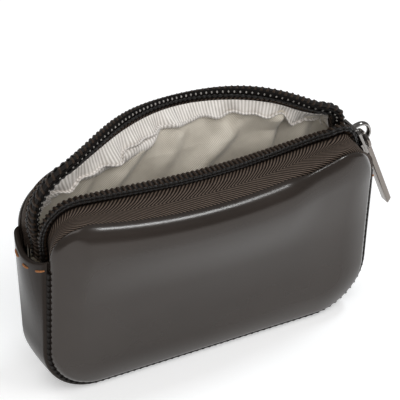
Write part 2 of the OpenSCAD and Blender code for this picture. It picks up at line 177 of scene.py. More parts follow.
def straight_share(s):
    """1 inside the slider, where the zip is held straight, and 0 away from it."""
    ease = OPEN_EASE_L if s < SLIDER_S else END_EASE_L
    return 1 - smooth((abs(s - SLIDER_S) - STRAIGHT_L) / ease)


def zip_path(s):
    """The rim's path, straightened where the slider holds the zip."""
    p, q, t, l = rim_path(s), rim_path(SLIDER_S), straight_share(s), s - SLIDER_S
    n = Vector((mix(p[2], q[2], t), mix(p[3], q[3], t))).normalized()
    return mix(p[0], q[0] + q[3] * l, t), mix(p[1], q[1] - q[2] * l, t), n.x, n.y


def tuck(s):
    """How far the zip's two ends are tucked in behind the gusset's rims."""
    return TUCK_IN * (2 - smooth(s / TUCK_L) - smooth((ZIP_L - s) / TUCK_L))


def lip_point(side, s):
    """Point of a face's lip that the tape comes out of."""
    p = rim_path(s)
    share = lip_share(side, p[0])
    return Vector((p[0] - tuck(s) * p[2], side * (half_depth(p[1]) + LIP_LEAN * share),
                   p[1] - LIP_SAG * share))


def closed_y(s):
    """Distance of a closed coil from the middle plane, which parts in front of the slider."""
    l = SLIDER_S - s
    return COIL_Y + COIL_PART * smooth(l / (SLIDER_L / 2)) * smooth((PART_FROM - l) / PART_L)


def coil_point(side, s):
    """Middle of a coil at a length along the zip."""
    p, lip = zip_path(s), lip_point(side, s)
    bent, opened = 1 - straight_share(s), open_share(side, s)
    shut = mix(SLIDER_FOLD, closed_fold(s), bent)
    fold = math.radians(mix(shut, FRONT_FOLD if side == FRONT else BACK_FOLD, opened))
    reach = min(TAPE_W * math.cos(fold), abs(lip.y) - COIL_Y)
    rise = TAPE_W * math.sin(fold) - tuck(s) * bent
    sag = (rim_path(s)[1] - lip.z) * bent
    y = mix(side * closed_y(s), lip.y - side * reach, opened ** OPEN_SPREAD)
    return Vector((p[0] + rise * p[2], y, p[1] - sag + rise * p[3]))


def coil_frame(side, s):
    """Middle of a coil, and the directions across the tape, outwards and along."""
    step = COIL_PITCH / 8
    mid = coil_point(side, s)
    along = (coil_point(side, s + step) - coil_point(side, s - step)).normalized()
    slant = (mid - lip_point(side, s)).normalized().lerp(Vector((0, -side, 0)), straight_share(s))
    across = (slant - along * slant.dot(along)).normalized()
    return mid, across, along.cross(across) * -side, along


# Pieces


def link(obj):
    bpy.context.scene.collection.objects.link(obj)
    return obj


def finish_mesh(name, bm, material, facing=None):
    """Object from a bmesh, with its faces turned to the side that facing points to."""
    if facing is not None:
        bm.normal_update()
        total = sum((f.normal * f.calc_area() for f in bm.faces), Vector())
        if total.dot(Vector(facing)) < 0:
            bmesh.ops.reverse_faces(bm, faces=bm.faces)
    mesh = bpy.data.meshes.new(name)
    bm.to_mesh(mesh)
    bm.free()
    mesh.polygons.foreach_set("use_smooth", [True] * len(mesh.polygons))
    mesh.materials.append(material)
    return link(bpy.data.objects.new(name, mesh))


def cloth(name, place, columns, rows, material, flip=False):
    """Grid whose points are moved by place(u, v), which gives a point and its UV in millimetres."""
    bm = bmesh.new()
    bmesh.ops.create_grid(bm, x_segments=columns, y_segments=rows, size=1.0)
    layer = bm.loops.layers.uv.new("UVMap")
    spots = {}
    for v in bm.verts:
        point, spots[v] = place(clamp((v.co.x + 1) / 2), clamp((v.co.y + 1) / 2))
        v.co = Vector(point) * MM
    for face in bm.faces:
        for loop in face.loops:
            loop[layer].uv = spots[loop.vert]
    if flip:
        bmesh.ops.reverse_faces(bm, faces=bm.faces)
    return finish_mesh(name, bm, material)


def tube(name, lines, radius, material, sides=2, caps=True):
    """Round threads along lines of points in millimetres, as one mesh."""
    curve = bpy.data.curves.new(name, "CURVE")
    curve.dimensions = "3D"
    curve.bevel_depth = radius * MM
    curve.bevel_resolution = sides
    curve.use_fill_caps = caps
    for line in lines:
        spline = curve.splines.new("POLY")
        spline.points.add(len(line) - 1)
        for point, spot in zip(spline.points, line):
            point.co = (*(Vector(spot[:3]) * MM), 1)
            point.radius = spot[3] if len(spot) > 3 else 1
    shape = link(bpy.data.objects.new(name, curve))
    graph = bpy.context.evaluated_depsgraph_get()
    mesh = bpy.data.meshes.new_from_object(shape.evaluated_get(graph))
    bpy.data.objects.remove(shape)
    bpy.data.curves.remove(curve)
    mesh.name = name
    mesh.materials.clear()
    mesh.materials.append(material)
    mesh.polygons.foreach_set("use_smooth", [True] * len(mesh.polygons))
    return link(bpy.data.objects.new(name, mesh))


def thicken(obj, thickness, offset):
    solid = obj.modifiers.new("Thickness", "SOLIDIFY")
    solid.thickness = thickness * MM
    solid.offset = offset


# Materials


def new_material(name):
    material = bpy.data.materials.new(name)
    material.use_nodes = True
    return material, material.node_tree, material.node_tree.nodes["Principled BSDF"]


def math_node(tree, operation, a, b=None):
    node = tree.nodes.new("ShaderNodeMath")
    node.operation = operation
    for socket, value in zip(node.inputs, (a, b)):
        if value is None:
            continue
        if isinstance(value, (int, float)):
            socket.default_value = value
        else:
            tree.links.new(value, socket)
    return node.outputs[0]


def group_of(name, inputs, outputs):
    """Shader node group with float inputs and outputs; gives its tree and sockets."""
    tree = bpy.data.node_groups.new(name, "ShaderNodeTree")
    for label, value in inputs:
        socket = tree.interface.new_socket(label, in_out="INPUT", socket_type="NodeSocketFloat")
        socket.default_value = value
    for label in outputs:
        tree.interface.new_socket(label, in_out="OUTPUT", socket_type="NodeSocketFloat")
    return tree, tree.nodes.new("NodeGroupInput").outputs, tree.nodes.new("NodeGroupOutput").inputs


def add_group(tree, group, **values):
    node = tree.nodes.new("ShaderNodeGroup")
    node.node_tree = group
    for label, value in values.items():
        node.inputs[label].default_value = value
    return node


def uv_in(tree):
    node = tree.nodes.new("ShaderNodeUVMap")
    node.uv_map = "UVMap"
    parts = tree.nodes.new("ShaderNodeSeparateXYZ")
    tree.links.new(node.outputs[0], parts.inputs[0])
    return parts.outputs[0], parts.outputs[1]


def wave(tree, value, period):
    """Sine between 0 and 1 with a period in the units of value."""
    turn = math_node(tree, "MULTIPLY", value, 2 * math.pi / period)
    return math_node(tree, "MULTIPLY_ADD", math_node(tree, "SINE", turn), 0.5)


def noise_node(tree, scale, detail, vector=None):
    node = tree.nodes.new("ShaderNodeTexNoise")
    node.inputs["Scale"].default_value = scale
    node.inputs["Detail"].default_value = detail
    if vector is None:
        coords = tree.nodes.new("ShaderNodeTexCoord")
        vector = coords.outputs["Object"]
    tree.links.new(vector, node.inputs["Vector"])
    return node.outputs["Fac"]


def ramp(tree, value, *stops):
    node = tree.nodes.new("ShaderNodeValToRGB")
    points = node.color_ramp.elements
    while len(points) < len(stops):
        points.new(0.5)
    for point, (place, color) in zip(points, stops):
        point.position = place
        point.color = (*color, 1)
    tree.links.new(value, node.inputs[0])
    return node.outputs[0]


def bump(tree, shader, height, strength, distance):
    node = tree.nodes.new("ShaderNodeBump")
    node.inputs["Strength"].default_value = strength
    node.inputs["Distance"].default_value = distance * MM
    tree.links.new(height, node.inputs["Height"])
    tree.links.new(node.outputs[0], shader.inputs["Normal"])


# Weave with slanted ribs: twill where the stripes are wide, herringbone where they turn back
weave, w_in, w_out = group_of(
    "SlantedWeave", [("U", 0), ("V", 0), ("Stripe", 4), ("Slant", 1), ("Pitch", 1)], ["Rib", "Stripe edge"])
w_frac = math_node(weave, "FRACT", math_node(weave, "DIVIDE", w_in[1], w_in[2]))
w_turn = math_node(weave, "ABSOLUTE", math_node(weave, "SUBTRACT", w_frac, 0.5))
w_shift = math_node(weave, "MULTIPLY", math_node(weave, "MULTIPLY", w_turn, w_in[2]), w_in[3])
w_run = math_node(weave, "DIVIDE", math_node(weave, "ADD", w_in[0], w_shift), w_in[4])
weave.links.new(wave(weave, w_run, 1.0), w_out[0])
weave.links.new(math_node(weave, "MULTIPLY", w_turn, 2.0), w_out[1])


def leather_material(name, gloss, coat):
    material, tree, shader = new_material(name)
    grain = noise_node(tree, 900, 3)
    cloud = noise_node(tree, 45, 2)
    tree.links.new(ramp(tree, cloud, (0.35, (0.021, 0.0160, 0.0132)), (0.7, (0.027, 0.0208, 0.0174))),
                   shader.inputs["Base Color"])
    rough = math_node(tree, "MULTIPLY_ADD", cloud, 0.10)
    rough.node.inputs[2].default_value = 0.17
    tree.links.new(rough, shader.inputs["Roughness"])
    shader.inputs["Specular IOR Level"].default_value = gloss
    shader.inputs["Specular Tint"].default_value = (1, 0.93, 0.88, 1)
    shader.inputs["Coat Weight"].default_value = coat
    shader.inputs["Coat Roughness"].default_value = 0.15
    bump(tree, shader, grain, 0.12, 0.05)
    return material


def lining_material():
    material, tree, shader = new_material("lining")
    u, v = uv_in(tree)
    rib = add_group(tree, weave, Stripe=1000.0, Slant=1.0, Pitch=0.62)
    tree.links.new(u, rib.inputs["U"])
    tree.links.new(v, rib.inputs["V"])
    cloud = noise_node(tree, 160, 2)
    value = math_node(tree, "MULTIPLY_ADD", rib.outputs["Rib"], 0.45)
    tree.links.new(math_node(tree, "MULTIPLY", cloud, 0.55), value.node.inputs[2])
    tree.links.new(ramp(tree, value, (0.15, (0.42, 0.375, 0.305)), (0.8, (0.76, 0.70, 0.60))),
                   shader.inputs["Base Color"])
    shader.inputs["Roughness"].default_value = 0.62
    shader.inputs["Sheen Weight"].default_value = 0.25
    bump(tree, shader, rib.outputs["Rib"], 0.35, 0.12)
    return material


def binding_material():
    material, tree, shader = new_material("binding")
    rib = wave(tree, uv_in(tree)[0], 1.0)
    cloud = noise_node(tree, 220, 2)
    value = math_node(tree, "MULTIPLY_ADD", rib, 0.5)
    tree.links.new(math_node(tree, "MULTIPLY", cloud, 0.5), value.node.inputs[2])
    tree.links.new(ramp(tree, value, (0.15, (0.42, 0.38, 0.34)), (0.7, (0.82, 0.775, 0.73))),
                   shader.inputs["Base Color"])
    shader.inputs["Roughness"].default_value = 0.55
    shader.inputs["Sheen Weight"].default_value = 0.2
    bump(tree, shader, rib, 0.6, 0.22)
    return material


def tape_material():
    material, tree, shader = new_material("tape")
    u, v = uv_in(tree)
    rib = add_group(tree, weave, Stripe=20.8, Slant=-1.1, Pitch=1.25)
    tree.links.new(u, rib.inputs["U"])
    tree.links.new(v, rib.inputs["V"])
    fine = noise_node(tree, 1500, 2)
    value = math_node(tree, "MULTIPLY_ADD", rib.outputs["Rib"], 0.7)
    tree.links.new(math_node(tree, "MULTIPLY", fine, 0.3), value.node.inputs[2])
    # The tape is darker where the sewing of the coil covers it
    bare = math_node(tree, "MULTIPLY_ADD", v, -1.6)
    bare.node.inputs[2].default_value = 26.6
    bare.node.use_clamp = True
    yarn = ramp(tree, math_node(tree, "MULTIPLY", value, bare), (0.05, (0.004, 0.003, 0.0025)),
                (0.4, (0.017, 0.0115, 0.0085)), (0.85, (0.135, 0.100, 0.078)))
    tree.links.new(yarn, shader.inputs["Base Color"])
    shader.inputs["Roughness"].default_value = 0.65
    shader.inputs["Specular IOR Level"].default_value = 0.2
    bump(tree, shader, rib.outputs["Rib"], 0.6, 0.25)
    return material


def thread_material(name, color, rough, spec):
    material, tree, shader = new_material(name)
    twist = noise_node(tree, 2500, 2)
    dark, pale = tuple(c * 0.7 for c in color), tuple(c * 1.3 for c in color)
    tree.links.new(ramp(tree, twist, (0.3, dark), (0.7, pale)), shader.inputs["Base Color"])
    shader.inputs["Roughness"].default_value = rough
    shader.inputs["Specular IOR Level"].default_value = spec
    bump(tree, shader, twist, 0.2, 0.05)
    return material


def metal_material(name, color, low, high):
    material, tree, shader = new_material(name)
    smear = noise_node(tree, 350, 3)
    shader.inputs["Base Color"].default_value = (*color, 1)
    shader.inputs["Metallic"].default_value = 1.0
    rough = math_node(tree, "MULTIPLY_ADD", smear, high - low)
    rough.node.inputs[2].default_value = low
    tree.links.new(rough, shader.inputs["Roughness"])
    bump(tree, shader, smear, 0.05, 0.02)
    return material


def board_material():
    material, tree, shader = new_material("board")
    fleck = noise_node(tree, 700, 4)
    tree.links.new(ramp(tree, fleck, (0.3, (0.30, 0.25, 0.18)), (0.7, (0.46, 0.40, 0.31))),
                   shader.inputs["Base Color"])
    shader.inputs["Roughness"].default_value = 0.8
    return material


LEATHER = leather_material("leather", 0.44, 0.12)
SIDE_LEATHER = leather_material("side_leather", 0.09, 0.0)
LINING = lining_material()
BINDING = binding_material()
TAPE = tape_material()
COIL = thread_material("coil", (0.030, 0.0190, 0.0125), 0.40, 0.3)
# Pale thread colour: painted glints on the sewing's loops on the inner face
COIL_STITCH_GLINT = thread_material("coil_stitch_glint", (0.34, 0.32, 0.30), 0.35, 0.5)
SEWING = thread_material("coil_sewing", (0.0075, 0.0062, 0.0055), 0.35, 0.6)
CORD = thread_material("cord", (0.010, 0.008, 0.007), 0.6, 0.3)
SEAM_THREAD = thread_material("seam_thread", (0.008, 0.006, 0.005), 0.6, 0.25)
END_THREAD = thread_material("end_thread", (0.33, 0.135, 0.05), 0.6, 0.2)
NICKEL = metal_material("nickel", (0.34, 0.325, 0.31), 0.10, 0.20)
# A darker copy of the nickel: painted shade for the slider's body
SHADED_NICKEL = metal_material("shaded_nickel", (0.28, 0.265, 0.25), 0.08, 0.20)
GUNMETAL = metal_material("gunmetal", (0.24, 0.215, 0.195), 0.16, 0.30)
BOARD = board_material()

# Padded leather faces

MID_Z = (SEAM_Z + FACE_H) / 2
HALF_Z = (FACE_H - SEAM_Z) / 2
EDGE_BAND, RING_BAND = 11.0, 0.52
ROLL_R = 1.7
SHELL_T, UNEVEN = 1.2, 0.35


def outline_spot(a, b):
    """Spot of a face for a place on a square: rings that follow the rounded outline."""
    ring = max(abs(a), abs(b))
    if ring < 1e-6:
        return 0.0, MID_Z
    band = max(ring, RING_BAND)
    inset = EDGE_BAND * ((1 - band) / (1 - RING_BAND)) ** 2
    half = (HALF_W - inset, HALF_Z - inset)
    flat = abs(b) >= abs(a)
    share = (a if flat else b) / ring
    upper = b > 0 if flat else share > 0
    r = (TOP_R if upper else BOTTOM_R) - inset
    straight = (half[0] if flat else half[1]) - r
    l = abs(share) * (straight + math.pi / 4 * r)
    turn = max(0.0, l - straight) / r
    far = math.copysign(min(l, straight) + r * math.sin(turn), share)
    near = (half[1] if flat else half[0]) - r * (1 - math.cos(turn))
    x, z = (far, math.copysign(near, b)) if flat else (math.copysign(near, a), far)
    return x * ring / band, MID_Z + z * ring / band


# The front lip's wide roll runs between these x, and turns tight to the right of them
ROLL_LEFT, ROLL_RIGHT, ROLL_EASE = -48.0, 22.0, 6.0
ROLL_MORE, ROLL_LESS, TIGHT_L = 1.4, 0.9, 10.0
ROLL_BAND = 9.0
# Puff of the face below the roll
PUFF_LEFT, PUFF_LOSS, PUFF_LOSS_L = -50.0, 0.6, 14.0
PUFF_EDGE, PUFF_RISE, PUFF_BAND = 0.7, 0.8, 6.5
PUFF_DROP, PUFF_FADE_L = 8.0, 24.0


def lip_form(x, z, d):
    """Radius of the front face's rolled lip, and how far the face puffs out below it."""
    tight = smooth((x - ROLL_RIGHT) / TIGHT_L)
    wide = smooth((x - ROLL_LEFT) / ROLL_EASE) * (1 - tight)
    upper = smooth((z - FACE_H + ROLL_BAND) / ROLL_EASE)
    roll = ROLL_R + upper * mix(ROLL_MORE * wide, -ROLL_LESS, tight)
    along = smooth((x - PUFF_LEFT) / ROLL_EASE) * (1 - PUFF_LOSS * smooth((x - ROLL_RIGHT) / PUFF_LOSS_L))
    puff = PUFF_EDGE + PUFF_RISE * (1 - (1 - min(d, PUFF_BAND) / PUFF_BAND) ** 2)
    return roll, along * puff * (1 - smooth((FACE_H - z - PUFF_DROP) / PUFF_FADE_L))


def panel_place(side):
    def place(u, v):
        x, z = outline_spot(2 * u - 1, 2 * v - 1)
        d = max(0.0, edge_distance(x, z))
        out, sag = face_out(side, x, z)
        roll, puff = lip_form(x, z, d) if side == FRONT else (ROLL_R, 0.0)
        in_roll = roll - min(d, roll)
        out += LEATHER_T / 2 + puff - (roll - math.sqrt(roll ** 2 - in_roll ** 2))
        out += UNEVEN * noise.noise(Vector((x / 30, z / 26, side * 3.0))) * smooth((d - 2) / 10)
        return (x, side * out, z - sag), (x, z)
    return place


for side, name in ((FRONT, "front"), (BACK, "back")):
    panel = cloth(name + "_leather", panel_place(side), 120, 120, LEATHER, flip=side == BACK)
    thicken(panel, SHELL_T, -1)
    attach(panel, "purse")
    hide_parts(name + "_panel", name + "_padding")

# Gusset with folded rims at its two ends

RIM_R, RIM_IN = 0.95, 6.0
GUSSET_EDGE_R = 0.9
SIDE_MARGIN = LEATHER_T / 2 + 0.3
DIP_HALF = half_depth(GUSSET_H) - LEATHER_T / 2
DIP_R = (DIP_HALF ** 2 + GUSSET_DIP ** 2) / (2 * GUSSET_DIP)
DIP_Z = GUSSET_H - GUSSET_DIP + DIP_R


def gusset_edge(y):
    """Height of the gusset's dipped top edge."""
    return DIP_Z - math.sqrt(DIP_R ** 2 - y ** 2)


def gusset_bulge(q, z):
    """How far the gusset bulges out between its two seams."""
    return (1 - q * q) * (0.3 * smooth(z / 14) + 2.0 * smooth((z - 20) / 30))


end_rows = [("in", i / 5) for i in range(5, 0, -1)]
end_rows += [("rim", i / 9) for i in range(9, 0, -1)]
end_rows += [("side", i / 22) for i in range(22)]
end_rows += [("arc", i / 14) for i in range(14)]
gusset_rows = [(-1, kind, t) for kind, t in end_rows]
gusset_rows += [(-1, "base", i / 30) for i in range(31)]
gusset_rows += [(1, kind, t) for kind, t in reversed(end_rows)]


def gusset_point(end, kind, t, q, proud):
    """Point of the gusset at a row and a share across it, stood off its seam line."""
    edge_z = gusset_edge(q * (half_depth(GUSSET_H) - SIDE_MARGIN))
    if kind == "base":
        x, z, nx, nz = mix(-HALF_W + BOTTOM_R, HALF_W - BOTTOM_R, t), SEAM_Z, 0.0, -1.0
    elif kind == "arc":
        a = t * math.pi / 2
        x, z = end * (HALF_W - BOTTOM_R + BOTTOM_R * math.cos(a)), BEND_Z - BOTTOM_R * math.sin(a)
        nx, nz = end * math.cos(a), -math.sin(a)
    else:
        x, nx, nz = end * HALF_W, float(end), 0.0
        z = mix(edge_z - RIM_R, BEND_Z, t) if kind == "side" else edge_z - RIM_R
    half = half_depth(z) - SIDE_MARGIN
    edge = GUSSET_EDGE_R - min(GUSSET_EDGE_R, half * (1 - abs(q)))
    grow = proud + gusset_bulge(q, z) - (GUSSET_EDGE_R - math.sqrt(GUSSET_EDGE_R ** 2 - edge ** 2))
    if kind == "rim":
        grow += RIM_R * (math.cos(t * math.pi) - 1)
        z += RIM_R * math.sin(t * math.pi)
    if kind == "in":
        grow -= 2 * RIM_R
        z -= RIM_IN * t
    return Vector((x + nx * grow, q * half, z + nz * grow))


def gusset_place(u, v):
    end, kind, t = gusset_rows[round(v * (len(gusset_rows) - 1))]
    q = math.sin((u - 0.5) * math.pi)
    point = gusset_point(end, kind, t, q, GUSSET_PROUD)
    return point, (point.y, 300 * v)


gusset = cloth("gusset_leather", gusset_place, 36, len(gusset_rows) - 1, SIDE_LEATHER, flip=True)
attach(gusset, "purse")
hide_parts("gusset")

# Thread bars in the seam grooves, and the stitches under the gusset's rims

SEAM_THREAD_R, END_THREAD_R = 0.3, 0.34
STITCH_IN, STITCH_HALF_L, STITCH_SLANT = 0.85, 0.75, 0.45
STITCH_OUT, STITCH_BOW = 0.7, 0.5
# A thick cord under the bars closes the seam's groove
GROOVE_IN, GROOVE_OUT, GROOVE_FACTOR = 1.0, 0.3, 2.0
END_STITCH_OUT, END_STITCH_BOW, END_STITCH_TAPER = 0.16, 0.42, 0.35


def seam_rows():
    """Spot, outward normal and direction of each stitch along a side seam."""
    side_l = GUSSET_H - GUSSET_DIP - BEND_Z
    arc_l, base_l = math.pi * BOTTOM_R / 2, FACE_W - 2 * BOTTOM_R
    count = int((2 * side_l + 2 * arc_l + base_l) / STITCH_PITCH)
    for i in range(count):
        l = (i + 0.5) * STITCH_PITCH
        if l < side_l:
            yield (-HALF_W, BEND_Z + side_l - l), (-1, 0), (0, -1)
        elif l < side_l + arc_l:
            a = (l - side_l) / BOTTOM_R
            yield ((-HALF_W + BOTTOM_R - BOTTOM_R * math.cos(a), BEND_Z - BOTTOM_R * math.sin(a)),
                   (-math.cos(a), -math.sin(a)), (math.sin(a), -math.cos(a)))
        elif l < side_l + arc_l + base_l:
            yield (-HALF_W + BOTTOM_R + l - side_l - arc_l, SEAM_Z), (0, -1), (1, 0)
        elif l < side_l + 2 * arc_l + base_l:
            a = (l - side_l - arc_l - base_l) / BOTTOM_R
            yield ((HALF_W - BOTTOM_R + BOTTOM_R * math.sin(a), BEND_Z - BOTTOM_R * math.cos(a)),
                   (math.sin(a), -math.cos(a)), (math.cos(a), math.sin(a)))
        else:
            yield (HALF_W, BEND_Z + l - side_l - 2 * arc_l - base_l), (1, 0), (0, 1)


for side, name in ((FRONT, "front"), (BACK, "back")):
    bars = []
    for (x, z), (nx, nz), (tx, tz) in seam_rows():
        mid_y = half_depth(z) - STITCH_IN
        bar = []
        for k in range(7):
            t = k / 3 - 1
            out, slant = STITCH_OUT - STITCH_BOW * t * t, STITCH_SLANT * t
            bar.append((x + nx * out + tx * slant, side * (mid_y + STITCH_HALF_L * t),
                        z + nz * out + tz * slant))
        bars.append(bar)
    bars.append([(x + nx * GROOVE_OUT, side * (half_depth(z) - GROOVE_IN), z + nz * GROOVE_OUT, GROOVE_FACTOR)
                 for (x, z), (nx, nz), _ in seam_rows()])
    threads = tube(name + "_seam_thread", bars, SEAM_THREAD_R, SEAM_THREAD, sides=1)
    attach(threads, "purse")
    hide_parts(name + "_seam_stitches")

for end, name in ((-1, "left"), (1, "right")):
    reach = half_depth(GUSSET_H) - LEATHER_T - END_STITCH_L / 2
    rods = []
    y = -reach
    while y <= reach:
        rod = []
        for k in range(9):
            t = k / 4 - 1
            at = y + t * END_STITCH_L / 2
            z = gusset_edge(at) - END_STITCH_DROP
            half = half_depth(z) - SIDE_MARGIN
            q = at / half
            x = HALF_W + GUSSET_PROUD + gusset_bulge(q, z) + END_STITCH_OUT - END_STITCH_BOW * t ** 4
            rod.append((end * x, at, z, 1 - END_STITCH_TAPER * t ** 4))
        rods.append(rod)
        y += END_STITCH_PITCH
    threads = tube(name + "_end_thread", rods, END_THREAD_R, END_THREAD, sides=2)
    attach(threads, "purse")
    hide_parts(name + "_end_stitches")

# Zip tapes, in a left and a right length for each side

# How far a tape runs on under its coil, past the coil's middle, and bends up there
TAPE_OVER, TAPE_BEND = 1.3, 0.7
# The sewn edge behind the lip: how far in and down it lies
ROOT_IN, ROOT_DROP = 1.8, 0.2
DEEP_IN, DEEP_DROP = 1.9, 3.2
# The tape's crown stands out a little, and more in one place on each side: height, place, half-length
CROWN = 0.45
CROWN_PUFF = {BACK: (1.9, 26.0, 13.0), FRONT: (3.2, SLIDER_S + 5.0, 5.0)}
TAPE_UV_W = 19.0


def tape_line(side, s):
    """Points of a tape's middle from behind the lip to the coil."""
    mid, across, out = coil_frame(side, s)[:3]
    lip = lip_point(side, s)
    p = rim_path(s)
    normal = Vector((p[2], 0, p[3]))
    inward = Vector((0, -side, 0))
    edge = mid - out * TAPE_MID
    knee = edge - across * TAPE_FLAT
    root = lip + inward * ROOT_IN - normal * ROOT_DROP
    deep = lip + inward * DEEP_IN - normal * DEEP_DROP
    height, place, half_l = CROWN_PUFF[side]
    crown = root.lerp(knee, 0.5) + out * (CROWN + height * bell((s - place) / half_l))
    return [deep, root, crown, knee, edge + across * TAPE_OVER + out * TAPE_BEND]


def spline_point(points, t):
    """Point at t of a smooth line through the points."""
    n = len(points) - 1
    i = min(int(t * n), n - 1)
    f = t * n - i
    a, b = points[max(i - 1, 0)], points[i]
    c, d = points[i + 1], points[min(i + 2, n)]
    return 0.5 * (2 * b + (c - a) * f + (2 * a - 5 * b + 4 * c - d) * f * f
                  + (3 * b - a - 3 * c + d) * f ** 3)


def tape_place(side, start, stop):
    def place(u, v):
        s = mix(start, stop, u)
        return spline_point(tape_line(side, s), v), (s, TAPE_UV_W * v)
    return place


NAMES = {FRONT: "front", BACK: "back"}
LEFT_BEND, RIGHT_BEND = (-55.0, -30.0), (57.0, 12.0)


def zip_halves():
    """Side and part of each zip length, and two x values along it; nothing bends at them."""
    for side in (FRONT, BACK):
        yield side, "left", *LEFT_BEND
        yield side, "right", *RIGHT_BEND


def bend_with_mouth(obj, side, start_x, end_x):
    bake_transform(obj)


for side, part, start_x, end_x in zip_halves():
    start, stop = (0.0, SPLIT_S) if part == "left" else (SPLIT_S, ZIP_L)
    obj = cloth(f"{NAMES[side]}_tape_{part}", tape_place(side, start, stop), 130, 28, TAPE,
                flip=side == BACK)
    thicken(obj, TAPE_T, 0)
    bend_with_mouth(obj, side, start_x, end_x)
    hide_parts(NAMES[side] + "_tape")

# Coils with their sewing threads and inner cords

# The filament is pressed wide where it turns, so that the turns lie close
FILAMENT_R, TURN_POWER = 0.46, 0.8
SEWING_R, CORD_R, STITCH_GLINT_R = 0.34, 0.7, 0.3
OUTER_BEAD, INNER_BEAD = 0.35, 0.5
# Rows of sewing, as places across and out of the coil, and how far they dip at each turn:
# on its outer face beside the tape, and on the tape's inner face
OUTER_ROWS = ((-1.85, 0.35, 0.0), (-1.45, 1.0, 0.12))
INNER_ROWS = ((-0.5, -TAPE_MID - TAPE_T / 2, -0.1),)
# Sewing loops on the inner face, coloured pale as painted glints: place across and out of the coil,
# half-length, bow and taper
STITCH_GLINT_AT = (0.5, -TAPE_MID + 0.12)
STITCH_GLINT_HALF_L, STITCH_GLINT_BOW, STITCH_GLINT_TAPER = 0.34, 0.12, 0.4
# Cords side by side that fill the coil, as places across it
FILLER_ROWS = {FRONT: (-0.6, 0.0, 0.6), BACK: (-0.6, 0.0, 0.6, 0.85)}


def coil_line(side, start, stop):
    """Wound filament: one flattened turn for each pitch."""
    steps = 14
    count = round((stop - start) / COIL_PITCH) * steps
    line = []
    for i in range(count + 1):
        s = start + i * COIL_PITCH / steps
        mid, across, out = coil_frame(side, s)[:3]
        a = 2 * math.pi * s / COIL_PITCH
        c, d = math.cos(a), math.sin(a)
        flat = math.copysign(abs(c) ** TURN_POWER, c)
        high = math.copysign(abs(d) ** TURN_POWER, d)
        line.append(mid + across * (COIL_W / 2 - FILAMENT_R) * flat + out * (COIL_T / 2 - FILAMENT_R) * high)
    return line


def thread_line(side, start, stop, across_at, out_at, dip=0.0, bead=0.0):
    """Line beside a coil that dips and swells once for each turn."""
    steps = 10 if bead else 4
    count = round((stop - start) / COIL_PITCH) * steps
    line = []
    for i in range(count + 1):
        s = start + i * COIL_PITCH / steps
        mid, across, out = coil_frame(side, s)[:3]
        c = math.cos(2 * math.pi * s / COIL_PITCH)
        line.append((*(mid + across * across_at + out * (out_at + dip * c)), 1 + bead * c))
    return line


def stitch_glint_rods(side, start, stop):
    """Short loops of the sewing on the inner face, one for each turn, whose pale colour paints the glints on
    them.
    """
    rods = []
    for i in range(round((stop - start) / COIL_PITCH)):
        mid, across, out = coil_frame(side, start + (i + 0.5) * COIL_PITCH)[:3]
        spot = mid + across * STITCH_GLINT_AT[0] + out * STITCH_GLINT_AT[1]
        rods.append([(*(spot + across * k * STITCH_GLINT_HALF_L + out * STITCH_GLINT_BOW * abs(k)), 1 - STITCH_GLINT_TAPER * abs(k))
                     for k in (-1, 0, 1)])
    return rods


COIL_STOP = int(COIL_L / COIL_PITCH) * COIL_PITCH
for side, part, start_x, end_x in zip_halves():
    start, stop = (0.0, SPLIT_S) if part == "left" else (SPLIT_S, COIL_STOP)
    name = NAMES[side]
    coil = tube(f"{name}_coil_{part}", [coil_line(side, start, stop)], FILAMENT_R, COIL, sides=2)
    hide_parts(name + "_coil")
    rows = [thread_line(side, start, stop, at, high, dip, OUTER_BEAD) for at, high, dip in OUTER_ROWS]
    rows += [thread_line(side, start, stop, at, high, dip, INNER_BEAD) for at, high, dip in INNER_ROWS]
    sewing = tube(f"{name}_coil_sewing_{part}", rows, SEWING_R, SEWING, sides=2)
    middle = [thread_line(side, start, stop, at, 0.0) for at in FILLER_ROWS[side]]
    core = tube(f"{name}_coil_cord_{part}", middle, CORD_R, CORD, sides=1)
    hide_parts(name + "_coil_core")
    # Pale sewing loops on the inner face: painted glints
    stitch_glints = tube(f"{name}_coil_stitch_glints_{part}", stitch_glint_rods(side, start, stop), STITCH_GLINT_R, COIL_STITCH_GLINT, sides=1)
    for obj in (coil, sewing, core, stitch_glints):
        bend_with_mouth(obj, side, start_x, end_x)

# Ribbed bindings inside the tapes

BINDING_FROM, BINDING_TO = 3.0, 122.0
BINDING_T, BINDING_UV_W = 0.3, 10.0
# Distance of the ribbon's upper edge from the coil: less along the open mouth, which starts here
NEAR_ENDS, NEAR_MOUTH, NEAR_EASE = 3.15, 1.7, 14.0
MOUTH_FROM, MOUTH_TO = {FRONT: 34.0, BACK: 8.0}, 112.0
# Visible width: even in front; behind, widest at the left of the mouth and narrow at the slider
FRONT_WIDTH = 5.0
BACK_WIDTH, WIDTH_LOSS, LOSS_FROM, LOSS_L = 6.2, 2.4, 70.0, 36.0
LEFT_SHARE, LEFT_FROM, LEFT_L = 0.55, 8.0, 26.0
WIDTH_WAVE = 0.9
# Share of the ribbon above its rolled lower edge, and the roll's turn and half sizes
FLAT_SHARE, EDGE_TURN, EDGE_STAND, EDGE_DOWN = 0.72, math.pi * 1.15, 0.68, 0.75
BINDING_STAND, WAVE_STAND = 0.5, 2.6


def binding_frame(side, s):
    """Start of a binding on the tape's inner face, and its directions down and inwards."""
    mid, across, out, along = coil_frame(side, s)
    lip = lip_point(side, s)
    mouth = smooth((s - MOUTH_FROM[side]) / NEAR_EASE) * smooth((MOUTH_TO - s) / NEAR_EASE)
    near = mix(NEAR_ENDS, NEAR_MOUTH, mouth)
    edge = mid - out * TAPE_MID
    knee = edge - across * near
    root = lip + Vector((0, -side * 1.5, 0)) + (knee - lip).normalized() * 1.0
    down = (root - knee).normalized()
    inner = along.cross(down).normalized() * -side
    return knee - out * TAPE_T / 2, down, inner


